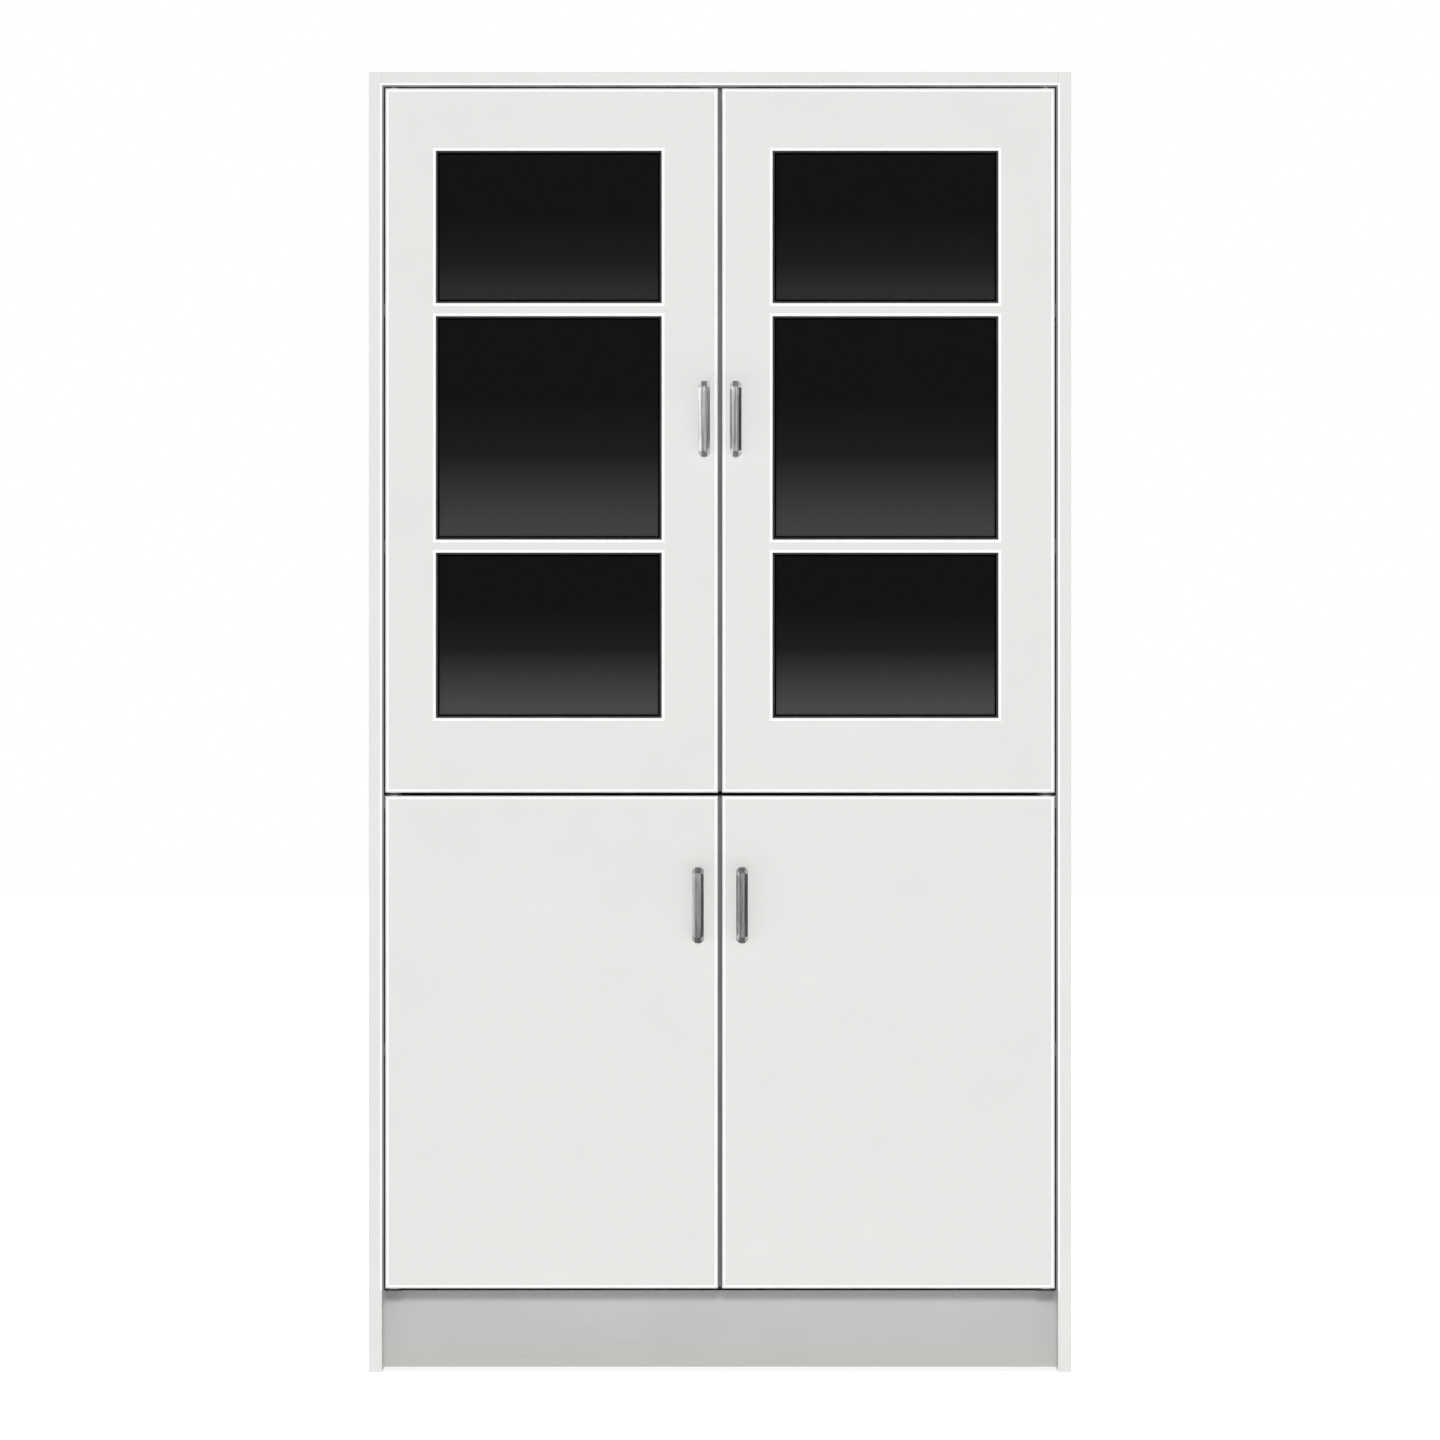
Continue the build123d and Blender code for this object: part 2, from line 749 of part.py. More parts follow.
for hand, sign in hand_signs.items():
    side_panel(f"{hand}_side_panel", sign)
for name in held_panels:
    held_panel(name)
back_sheets()
for name in plinths:
    plinth_board(name)
for name in shelf_undersides:
    loose_shelf(name)
shelf_supports()
cam_locks()
cam_bolts()
wood_dowels()
for name in plate_levels:
    pivot_plates(name)
pivot_pins()
pivot_plate_screws()
catch_housings()
catch_magnets()
catch_screws()
for hand in hand_signs:
    door_glass(hand)
    for row in door_levels:
        door_panel(row, hand)
        pivot_bushes(row, hand)
        handle(row, hand)
        handle_screws(row, hand)
        strike_plate(row, hand)
        strike_screw(row, hand)
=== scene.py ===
import math

import bmesh
import bpy
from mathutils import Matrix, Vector


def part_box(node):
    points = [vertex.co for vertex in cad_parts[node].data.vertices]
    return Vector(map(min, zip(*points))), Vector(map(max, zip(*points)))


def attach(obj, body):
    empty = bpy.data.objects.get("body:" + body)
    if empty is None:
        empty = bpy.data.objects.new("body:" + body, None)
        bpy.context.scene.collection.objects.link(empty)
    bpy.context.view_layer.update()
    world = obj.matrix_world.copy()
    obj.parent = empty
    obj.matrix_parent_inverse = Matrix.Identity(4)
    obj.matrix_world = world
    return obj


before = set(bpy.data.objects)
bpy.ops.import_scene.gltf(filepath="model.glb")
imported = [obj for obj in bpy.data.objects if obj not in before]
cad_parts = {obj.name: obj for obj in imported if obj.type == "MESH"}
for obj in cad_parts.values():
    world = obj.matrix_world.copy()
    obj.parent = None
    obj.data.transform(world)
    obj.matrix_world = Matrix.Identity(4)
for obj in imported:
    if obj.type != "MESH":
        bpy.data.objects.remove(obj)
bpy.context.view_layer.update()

bl_info = {
    "name": "Storage Cabinet Finishes",
    "version": (1, 0, 0),
    "blender": (4, 5, 0),
    "location": "3D View > Sidebar > Cabinet",
    "description": "Gives a storage cabinet its finishes and thin trim, and a studio to stand in",
    "category": "Object",
}

MM = 0.001

# Names of pieces
HANDS = ("left", "right")
ROWS = ("upper", "lower")
PANES = ("top", "middle", "bottom")
DOORS = [f"{row}_{hand}" for row in ROWS for hand in HANDS]
SHELVES = ("upper_shelf", "middle_shelf", "lower_shelf")
CARCASS_BOARDS = (
    "left_side_panel",
    "right_side_panel",
    "top_panel",
    "middle_panel",
    "bottom_panel",
    "rear_plinth",
)
BACK_SHEETS = ("upper_back_panel", "lower_back_panel")

# Profiles of the soft trim, in millimetres out from the edge and back from the front
LIP_POINTS = (
    (-0.4, 5.0),
    (1.4, 5.1),
    (2.9, 4.6),
    (4.3, 3.6),
    (4.9, 3.7),
    (4.6, 4.6),
    (3.4, 5.8),
    (1.6, 6.6),
    (-0.4, 7.0),
)
STRIP_POINTS = ((-0.4, 1.2), (1.7, 1.2), (2.5, 1.4), (2.8, 1.9), (2.5, 2.6), (1.6, 3.0), (-0.4, 3.2))

# Faces in the round of a band and in the round of a bead
ARRIS_STEPS = 6
BEAD_STEPS = 5

# Trim is smooth over edges flatter than the first angle; nodes are softened at edges sharper than the second
TRIM_SMOOTH_ANGLE = math.radians(35.0)
SOFT_EDGE_ANGLE = math.radians(40.0)

# Spans of a pattern's values: the middle, where most of a noise lies, and the whole
MIDDLE = (0.3, 0.7)
WHOLE = (0.0, 1.0)
UNSTRETCHED = (1.0, 1.0, 1.0)
WHITE = (1.0, 1.0, 1.0, 1.0)

# The room as shiny surfaces mirror it: a span of directions along one axis, and the light at its two ends
LEFT_LIGHT = ((-0.9, -0.25), (1.2, 0.0))
OVERHEAD_LIGHT = ((0.25, 0.6), (0.0, 1.1))
ROOM_LIGHT = ((-0.2, 0.6), (0.48, 0.9))
RIGHT_SHADE = ((0.55, 0.9), (1.0, 0.06))
OVERHEAD_SHADE = ((0.75, 0.95), (1.0, 0.12))

# Directions between which the soft light goes over from its strength in front to its strength behind
FRONT_TO_BACK = (-0.3, 0.7)

# How far the camera sees, in metres
FAR_CLIP = 200.0


class Nodes:
    """Makes the nodes of one tree and joins them."""

    def __init__(self, tree):
        self.tree = tree

    def node(self, kind, values=None, **settings):
        """A new node, its settings made and its inputs filled with values or with other nodes' outputs."""
        made = self.tree.nodes.new(kind)
        for setting, value in settings.items():
            setattr(made, setting, value)
        for key, value in (values or {}).items():
            if isinstance(value, bpy.types.NodeSocket):
                self.tree.links.new(value, made.inputs[key])
            else:
                made.inputs[key].default_value = value
        return made

    def spread(self, value, span=MIDDLE, to=WHOLE):
        """Carries values from one span smoothly to another, and holds them beyond it."""
        names = ("Value", "From Min", "From Max", "To Min", "To Max")
        values = dict(zip(names, (value, *span, *to)))
        return self.node("ShaderNodeMapRange", values, interpolation_type="SMOOTHSTEP").outputs["Result"]

    def combine(self, operation, first, second=0.0):
        """Two values taken together, as ADD, MULTIPLY or MINIMUM, or one alone, as ABSOLUTE."""
        return self.node("ShaderNodeMath", {0: first, 1: second}, operation=operation).outputs["Value"]

    def combine_vectors(self, operation, first, second=(0.0, 0.0, 0.0)):
        """The same for vectors, part by part."""
        values = {0: first, 1: second}
        return self.node("ShaderNodeVectorMath", values, operation=operation).outputs["Vector"]

    def axes(self, vector):
        """The three parts of a vector."""
        return self.node("ShaderNodeSeparateXYZ", {"Vector": vector}).outputs


class Finish(Nodes):
    """A material in the making: its shader, and the nodes that feed the shader."""

    def __init__(self, name, **fixed):
        self.material = bpy.data.materials.new(name)
        self.material.use_nodes = True
        super().__init__(self.material.node_tree)
        self.shader = self.tree.nodes["Principled BSDF"]
        self.coordinates = self.node("ShaderNodeTexCoord").outputs
        for socket, value in fixed.items():
            self.shader.inputs[socket.replace("_", " ")].default_value = value

    def noise(self, scale, detail=2.0, roughness=0.5, stretch=UNSTRETCHED):
        """Smooth random values over the piece at rest; scale is in waves per metre."""
        place = self.node("ShaderNodeMapping", {"Vector": self.coordinates["Object"], "Scale": stretch})
        values = {
            "Vector": place.outputs["Vector"],
            "Scale": scale,
            "Detail": detail,
            "Roughness": roughness,
        }
        return self.node("ShaderNodeTexNoise", values).outputs["Fac"]

    def mix(self, factor, first, second):
        """A colour between two others."""
        values = {0: factor, 6: first, 7: second}
        return self.node("ShaderNodeMix", values, data_type="RGBA").outputs[2]

    def drift(self, pattern, colour, shades, span=MIDDLE):
        """A colour that drifts between two shades of itself after a pattern."""
        first, last = shades
        return self.mix(self.spread(pattern, span), shade(colour, first), shade(colour, last))

    def stain(self, tint, pattern, span, amount, colour):
        """A tint with another colour over it, by an amount, where a pattern runs high."""
        return self.mix(self.spread(pattern, span, (0.0, amount)), tint, colour)

    def feed(self, socket, output):
        """Joins an output to a socket of the shader."""
        self.tree.links.new(output, self.shader.inputs[socket])

    def paint(self, colour):
        self.feed("Base Color", colour)

    def gloss(self, pattern, levels, span=MIDDLE):
        """Roughness that drifts between two levels after a pattern."""
        self.feed("Roughness", self.spread(pattern, span, levels))

    def relief(self, height, strength, depth):
        """Raises the surface by a height pattern of a given depth in metres."""
        values = {"Height": height, "Strength": strength, "Distance": depth}
        self.feed("Normal", self.node("ShaderNodeBump", values).outputs["Normal"])


class Room(Nodes):
    """The world in the making: its lights, and which rays meet them."""

    def light(self, strength):
        """White light from all round."""
        values = {"Color": WHITE, "Strength": strength}
        return self.node("ShaderNodeBackground", values).outputs["Background"]

    def choose(self, ray, others, chosen):
        """One light for a kind of ray, and another for all other rays."""
        return self.node("ShaderNodeMixShader", {0: ray, 1: others, 2: chosen}).outputs["Shader"]


def shade(colour, amount=1.0):
    """A colour made lighter or darker, with full alpha."""
    return (*(min(1.0, part * amount) for part in colour[:3]), 1.0)


def grey(level):
    """An even grey, with full alpha."""
    return shade((level, level, level))


def dress(node, finish):
    """Gives a CAD node its finish."""
    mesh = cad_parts[node].data
    for index in range(len(mesh.materials)):
        mesh.materials[index] = finish.material


def to_edge(finish, board):
    """How far a point on a board lies from the nearest edge of the board, in metres.

    It is the middle one of the point's distances to the board's ends along the three axes.
    """
    low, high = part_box(board)
    offset = finish.combine_vectors("SUBTRACT", finish.coordinates["Object"], (low + high) / 2)
    to_middle = finish.combine_vectors("ABSOLUTE", offset)
    to_ends = finish.combine_vectors("SUBTRACT", (high - low) / 2, to_middle)
    across, deep, up = finish.axes(to_ends)
    nearer = finish.combine("MINIMUM", across, deep)
    farther = finish.combine("MAXIMUM", across, deep)
    return finish.combine("MAXIMUM", nearer, finish.combine("MINIMUM", farther, up))


def laminate(name, colour, board, settings):
    """Faced board: faint clouds and fine specks in the colour, a pearl surface and lightly rubbed edges."""
    finish = Finish(name, Specular_IOR_Level=0.35)
    shades = (1.0 - settings.cloud, 1.0 + settings.cloud)
    tint = finish.drift(finish.noise(6.0, detail=3.0), colour, shades, (0.35, 0.65))
    tint = finish.stain(tint, finish.noise(1400.0), (0.60, 0.75), settings.speck, shade(colour, 0.7))
    edge = finish.spread(to_edge(finish, board), (0.0, settings.rub_width), (1.0, 0.0))
    patches = finish.noise(45.0, detail=5.0, roughness=0.65)
    rubbed = finish.combine("MULTIPLY", edge, finish.spread(patches, (0.48, 0.66), (0.0, settings.rub)))
    finish.paint(finish.mix(rubbed, tint, shade(colour, 0.72)))
    finish.gloss(finish.noise(22.0, detail=4.0), (settings.gloss - 0.05, settings.gloss + 0.06))
    finish.relief(finish.noise(850.0, detail=3.0), 0.25, settings.pearl)
    return finish


def plinth_laminate(colour, settings):
    """Grey faced board, with scuffs from shoes and a warm film of dust near the floor."""
    low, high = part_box("front_plinth")
    dust_top = low.z + (high.z - low.z) * 0.4
    dust_colour = (colour[0] * 0.985, colour[1] * 0.99, colour[2] * 0.93, 1.0)
    finish = Finish("Plinth laminate", Specular_IOR_Level=0.3)
    tint = finish.drift(finish.noise(9.0, detail=4.0), colour, (0.985, 1.015), (0.35, 0.65))
    tint = finish.stain(tint, finish.noise(1400.0), (0.60, 0.75), settings.speck, shade(colour, 0.6))
    height = finish.axes(finish.coordinates["Object"])[2]
    tint = finish.mix(finish.spread(height, (low.z, dust_top), (0.55, 0.0)), tint, dust_colour)
    streaks = finish.noise(60.0, detail=6.0, stretch=(0.16, 1.0, 1.0))
    low_down = finish.spread(height, (low.z, high.z), (1.0, 0.15))
    scuffs = finish.combine("MULTIPLY", finish.spread(streaks, (0.62, 0.74), (0.0, 0.14)), low_down)
    finish.paint(finish.mix(scuffs, tint, shade(colour, 0.55)))
    finish.gloss(finish.noise(18.0, detail=4.0), (0.42, 0.58))
    finish.relief(finish.noise(850.0, detail=3.0), 0.25, settings.pearl)
    return finish


def hardboard(colour):
    """Thin back sheet: pressed fibres under a grey-white foil."""
    finish = Finish("Back sheet foil", Specular_IOR_Level=0.25)
    tint = finish.drift(finish.noise(5.0, detail=4.0), colour, (0.985, 1.01))
    fibres = finish.noise(420.0, detail=4.0, stretch=(0.25, 1.0, 1.0))
    finish.paint(finish.stain(tint, fibres, (0.52, 0.72), 0.16, shade(colour, 0.75)))
    finish.gloss(finish.noise(30.0), (0.55, 0.7))
    finish.relief(finish.noise(320.0, detail=5.0, stretch=(0.3, 1.0, 1.0)), 0.3, 0.15 * MM)
    return finish


def edge_band_with_painted_highlight(colour):
    """White edge band, whiter than the boards so that it also paints highlight lines along the edges: smooth,
    slightly shiny, with faint lines from its extrusion.
    """
    finish = Finish("Edge band and painted highlight", Specular_IOR_Level=0.5)
    tint = finish.drift(finish.noise(14.0, detail=3.0), colour, (0.975, 1.0))
    grime = finish.noise(130.0, detail=5.0, roughness=0.7)
    finish.paint(finish.stain(tint, grime, (0.66, 0.80), 0.10, shade(colour, 0.6)))
    finish.gloss(finish.noise(40.0, detail=3.0), (0.24, 0.36))
    finish.relief(finish.noise(900.0, stretch=(1.0, 1.0, 0.05)), 0.15, 0.03 * MM)
    return finish


def smoked_glass(name, settings, foot, knee, top):
    """Dark glass that lets a little light through, with a painted reflection that is paler towards its foot.

    The foot is the painted reflection's brightness there. It gets thin at the knee and ends at the top, which
    are shares of the pane's height.
    """
    finish = Finish(name, Specular_IOR_Level=settings.shine, Alpha=settings.solid, IOR=1.5)
    # The glass is painted paler towards the foot of each pane: a painted reflection
    height = finish.axes(finish.coordinates["Generated"])[2]
    painted_reflection = finish.node("ShaderNodeValToRGB", {"Fac": height})
    ramp = painted_reflection.color_ramp
    ramp.elements[0].color = grey(foot)
    ramp.elements[1].position = top
    ramp.elements[1].color = shade(settings.tint)
    ramp.elements.new(knee).color = shade(settings.tint, settings.knee_level)
    dust = finish.noise(70.0, detail=6.0, roughness=0.7)
    finish.paint(finish.stain(painted_reflection.outputs["Color"], dust, (0.5, 0.8), 0.008, grey(0.25)))
    finish.gloss(finish.noise(12.0, detail=4.0), (0.03, 0.11), (0.35, 0.75))
    finish.relief(finish.noise(3.0), 0.04, 0.2 * MM)
    return finish


def lip_rubber(name, colour):
    """Soft grey rubber with dust held along its length."""
    finish = Finish(name, Specular_IOR_Level=0.2)
    tone = finish.noise(40.0, detail=4.0, stretch=(1.0, 1.0, 0.2))
    tint = finish.drift(tone, colour, (0.85, 1.12), (0.35, 0.7))
    finish.paint(finish.stain(tint, finish.noise(420.0, detail=5.0), (0.58, 0.76), 0.3, shade(colour, 2.0)))
    finish.gloss(finish.noise(90.0), (0.6, 0.78))
    finish.relief(finish.noise(1300.0, detail=3.0), 0.3, 0.04 * MM)
    return finish


def gasket_rubber():
    """Black rubber, dull, with a chalky bloom here and there."""
    finish = Finish("Gasket rubber", Specular_IOR_Level=0.01)
    bloom = finish.noise(160.0, detail=5.0)
    finish.paint(finish.stain(grey(0.0003), bloom, (0.5, 0.75), 0.5, grey(0.0014)))
    finish.gloss(finish.noise(90.0), (0.55, 0.75))
    finish.relief(finish.noise(1500.0, detail=3.0), 0.4, 0.05 * MM)
    return finish


def moulded_plastic(name, colour, roughness):
    """Moulded plastic with a fine spark-eroded skin and slight uneven tone."""
    finish = Finish(name, Specular_IOR_Level=0.45)
    tint = finish.drift(finish.noise(60.0, detail=3.0), colour, (0.94, 1.03))
    grime = finish.noise(300.0, detail=5.0)
    finish.paint(finish.stain(tint, grime, (0.62, 0.8), 0.18, shade(colour, 0.55)))
    finish.gloss(finish.noise(120.0), (roughness - 0.06, roughness + 0.08))
    finish.relief(finish.noise(2200.0), 0.35, 0.04 * MM)
    return finish


def bright_metal(name, colour, roughness, grain):
    """Plated metal, drawn lengthwise: light and dark streaks along the piece that are painted reflections,
    fine lines and faint smudges.
    """
    finish = Finish(name, Metallic=1.0)
    lines = finish.noise(900.0, detail=4.0, roughness=0.6, stretch=grain)
    bands = finish.noise(300.0, detail=1.0, stretch=grain)
    smudges = finish.noise(75.0, detail=4.0)
    smudge_span = (0.4, 0.75)
    dull = shade(colour, 0.7)
    # The light and dark bands along the piece are painted reflections
    tint = finish.drift(bands, colour, (0.62, 1.15), (0.36, 0.62))
    tint = finish.stain(tint, lines, (0.35, 0.65), 0.3, dull)
    finish.paint(finish.stain(tint, smudges, smudge_span, 0.25, dull))
    brushed = finish.spread(lines, to=(roughness * 0.7, roughness * 1.3))
    finish.feed("Roughness", finish.combine("ADD", brushed, finish.spread(smudges, smudge_span, (0.0, 0.06))))
    finish.relief(lines, 0.12, 0.04 * MM)
    return finish


def plated_steel(name, colour, roughness):
    """Zinc-plated steel: crystal patches, a rolled grain and dull spots."""
    finish = Finish(name, Metallic=1.0)
    crystals = finish.node("ShaderNodeTexVoronoi", {"Vector": finish.coordinates["Object"], "Scale": 380.0})
    tint = finish.drift(finish.axes(crystals.outputs["Color"])[0], colour, (0.86, 1.08), WHOLE)
    finish.paint(finish.stain(tint, finish.noise(240.0, detail=5.0), (0.55, 0.75), 0.45, shade(colour, 0.6)))
    finish.gloss(finish.noise(500.0, detail=3.0), (roughness - 0.08, roughness + 0.12))
    finish.relief(finish.noise(1300.0, detail=3.0, stretch=(1.0, 0.2, 1.0)), 0.2, 0.03 * MM)
    return finish


def painted_steel(colour):
    """Steel under black stove paint: slightly pebbled, rubbed paler in spots."""
    finish = Finish("Black painted steel", Specular_IOR_Level=0.4)
    tint = finish.drift(finish.noise(220.0, detail=4.0), colour, (0.8, 1.25), (0.35, 0.7))
    finish.paint(finish.stain(tint, finish.noise(520.0, detail=5.0), (0.64, 0.78), 0.35, shade(colour, 4.0)))
    finish.gloss(finish.noise(300.0), (0.38, 0.52))
    finish.relief(finish.noise(1600.0), 0.3, 0.05 * MM)
    return finish


def beech(colour):
    """Beech: grain along the dowels and the short dark flecks of that wood."""
    finish = Finish("Beech", Specular_IOR_Level=0.25)
    grain = finish.spread(finish.noise(420.0, detail=5.0, stretch=(0.06, 1.0, 1.0)))
    tint = finish.mix(grain, shade(colour, 0.8), shade(colour, 1.12))
    flecks = finish.noise(1600.0, stretch=(0.15, 1.0, 1.0))
    finish.paint(finish.stain(tint, flecks, (0.62, 0.72), 0.6, shade(colour, 0.5)))
    finish.gloss(grain, (0.7, 0.55), WHOLE)
    finish.relief(grain, 0.3, 0.06 * MM)
    return finish


def ferrite(colour):
    """Sintered magnet: near black, with bright grains and chipped tone."""
    finish = Finish("Ferrite", Metallic=0.3)
    finish.paint(finish.stain(shade(colour), finish.noise(2600.0), (0.6, 0.75), 0.5, shade(colour, 3.0)))
    finish.gloss(finish.noise(700.0), (0.4, 0.6))
    finish.relief(finish.noise(1800.0, detail=4.0), 0.3, 0.05 * MM)
    return finish


def carry_profile(name, path, profile, closed=True):
    """A piece with one profile all along a path in the plane of the front, mitred at its corners.

    The path is (x, z) points. The profile is (out, y) points, where out is to the right of the path's run.
    """
    points = [Vector(point) for point in path]
    count = len(points)
    ends = points[1:] + points[:1] if closed else points[1:]
    runs = [(end - start).normalized() for start, end in zip(points, ends)]
    rights = [Vector((run.y, -run.x)) for run in runs]
    mesh = bmesh.new()
    rings = []
    for i, point in enumerate(points):
        before = rights[i - 1] if closed or i > 0 else rights[i]
        after = rights[i] if i < len(rights) else rights[-1]
        mitre = (before + after) / (1.0 + before.dot(after))
        ring = [mesh.verts.new((point.x + mitre.x * out, y, point.y + mitre.y * out)) for out, y in profile]
        rings.append(ring)
    for i in range(len(runs)):
        first, second = rings[i], rings[(i + 1) % count]
        for j in range(len(profile)):
            k = (j + 1) % len(profile)
            mesh.faces.new((first[j], first[k], second[k], second[j]))
    if not closed:
        mesh.faces.new(rings[0])
        mesh.faces.new(rings[-1])
    bmesh.ops.recalc_face_normals(mesh, faces=mesh.faces)
    data = bpy.data.meshes.new(name)
    mesh.to_mesh(data)
    mesh.free()
    data.shade_smooth()
    data.set_sharp_from_angle(angle=TRIM_SMOOTH_ANGLE)
    piece = bpy.data.objects.new(name, data)
    bpy.context.scene.collection.objects.link(piece)
    return piece


def join_pieces(pieces, name):
    """Several meshes made into one."""
    mesh = bmesh.new()
    for piece in pieces:
        mesh.from_mesh(piece.data)
    kept = pieces[0]
    mesh.to_mesh(kept.data)
    mesh.free()
    for piece in pieces[1:]:
        bpy.data.objects.remove(piece)
    kept.name = name
    return kept


def fit_trim(piece, finish, body):
    """Gives a new piece its finish and its slot, and lets it ride on a body."""
    piece.data.materials.append(finish.material)
    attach(piece, body)


def rounded_edge(front, radius, band):
    """The profile of an edge band on a rounded arris.

    It goes over the arris, laps a little way along the face, and is let into the board.
    """
    outer, inner = radius + band.proud, radius - band.depth
    centre = front + radius
    turns = [math.pi / 2 * step / ARRIS_STEPS for step in range(ARRIS_STEPS + 1)]
    over = [(outer * math.cos(turn) - radius, centre - outer * math.sin(turn)) for turn in turns]
    face = [(-radius - band.lap, front - band.proud), (-radius - band.lap, front + band.depth)]
    under = [(inner * math.cos(turn) - radius, centre - inner * math.sin(turn)) for turn in reversed(turns)]
    return over + face + under


def painted_highlight_profile(front, band):
    """The profile of a flat white line on a door's face, just inside the rounded edge: a painted highlight.
    """
    outer, inner = -band.door_radius, -band.door_radius - band.highlight_width
    foremost, deepest = front - band.proud, front + band.depth
    return [(outer, foremost), (inner, foremost), (inner, deepest), (outer, deepest)]


def soft_profile(points, front):
    """A profile given in millimetres, set back from a front plane."""
    return [(out * MM, front + deep * MM) for out, deep in points]


def bead_profile(front, width, rise):
    """The profile of a low sealing bead, from a window's edge inward, with a rounded back."""
    turns = [math.pi * step / BEAD_STEPS for step in range(BEAD_STEPS + 1)]
    return [(width / 2 - width / 2 * math.cos(turn), front - rise * math.sin(turn)) for turn in turns]


def rectangle(low, high):
    """The corners of an upright rectangle, run round so that outside is to the right."""
    return [(low.x, low.z), (high.x, low.z), (high.x, high.z), (low.x, high.z)]


def window_paths(door):
    """The outline of each window of an upper door, run round so that inside is to the right."""
    lap = Vector((1.0, 0.0, 1.0)) * bpy.context.scene.cabinet_glazing.lap
    boxes = [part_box(f"{door}_{pane}_glass") for pane in PANES]
    return [list(reversed(rectangle(low + lap, high - lap))) for low, high in boxes]


def ring_windows(name, door, profile):
    """A ring of one profile round the inside of each window of a door, all in one piece."""
    paths = zip(PANES, window_paths(door))
    return join_pieces([carry_profile(f"{door}_{pane}", path, profile) for pane, path in paths], name)


def soften(node, width, segments=2):
    """Rounds the sharp edges of a node a little, so that they catch the light."""
    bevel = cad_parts[node].modifiers.new("soft_edges", "BEVEL")
    bevel.width = width
    bevel.segments = segments
    bevel.limit_method = "ANGLE"
    bevel.angle_limit = SOFT_EDGE_ANGLE
    bevel.harden_normals = True


class BoardSettings(bpy.types.PropertyGroup):
    """Colours and surface of the faced boards."""

    carcass_colour: bpy.props.FloatVectorProperty(
        name="Carcass",
        description="Colour of the carcass and the shelves",
        subtype="COLOR",
        default=(0.717, 0.717, 0.702),
    )
    door_colour: bpy.props.FloatVectorProperty(
        name="Doors", description="Colour of the door boards", subtype="COLOR", default=(0.715, 0.715, 0.700)
    )
    plinth_colour: bpy.props.FloatVectorProperty(
        name="Plinth", description="Colour of the front plinth", subtype="COLOR", default=(0.47, 0.47, 0.462)
    )
    back_colour: bpy.props.FloatVectorProperty(
        name="Back", description="Colour of the thin back sheets", subtype="COLOR", default=(0.70, 0.70, 0.68)
    )
    cloud: bpy.props.FloatProperty(
        name="Cloud", description="How far the colour drifts over a board", default=0.008, min=0.0, max=0.1
    )
    speck: bpy.props.FloatProperty(
        name="Specks", description="How strongly the fine specks show", default=0.12, min=0.0, max=1.0
    )
    rub: bpy.props.FloatProperty(
        name="Rub", description="How far the edges are rubbed", default=0.10, min=0.0, max=1.0
    )
    rub_width: bpy.props.FloatProperty(
        name="Rub width",
        description="How far in from an edge the rubbing reaches",
        default=5 * MM,
        unit="LENGTH",
    )
    gloss: bpy.props.FloatProperty(
        name="Roughness", description="Mean roughness of the faced boards", default=0.42, min=0.0, max=1.0
    )
    pearl: bpy.props.FloatProperty(
        name="Pearl", description="Depth of the fine pearl texture", default=0.06 * MM, unit="LENGTH"
    )


class EdgingSettings(bpy.types.PropertyGroup):
    """Sizes and colours of the edge bands (whose white also paints highlight lines along the edges), the soft
    lips and the dust strip.
    """

    # The bands' white also paints highlight lines along the door, window and carcass edges
    colour: bpy.props.FloatVectorProperty(
        name="Colour", description="Colour of the edge bands", subtype="COLOR", default=(0.95, 0.95, 0.94)
    )
    lip_colour: bpy.props.FloatVectorProperty(
        name="Lip",
        description="Colour of the soft lips between the doors",
        subtype="COLOR",
        default=(0.165, 0.165, 0.16),
    )
    strip_colour: bpy.props.FloatVectorProperty(
        name="Strip",
        description="Colour of the dust strip round the doors",
        subtype="COLOR",
        default=(0.20, 0.20, 0.195),
    )
    lip_inset: bpy.props.FloatProperty(
        name="Lip inset",
        description="How far a lip ends short of its door's corners",
        default=2 * MM,
        unit="LENGTH",
    )
    door_radius: bpy.props.FloatProperty(
        name="Door radius", description="Rounding of the doors' front edges", default=2 * MM, unit="LENGTH"
    )
    carcass_radius: bpy.props.FloatProperty(
        name="Carcass radius",
        description="Rounding of the carcass's front edges",
        default=1 * MM,
        unit="LENGTH",
    )
    # This line on a door's face is a painted highlight, just inside the rounded edge
    highlight_width: bpy.props.FloatProperty(
        name="Highlight width",
        description="Width of the line that a door's band shows on its face",
        default=2.6 * MM,
        unit="LENGTH",
    )
    lap: bpy.props.FloatProperty(
        name="Lap",
        description="How far a band runs on along the face, past a rounded edge",
        default=1.9 * MM,
        unit="LENGTH",
    )
    proud: bpy.props.FloatProperty(
        name="Proud", description="How far a band stands off its board", default=0.2 * MM, unit="LENGTH"
    )
    depth: bpy.props.FloatProperty(
        name="Depth", description="How far a band is let into its board", default=0.5 * MM, unit="LENGTH"
    )


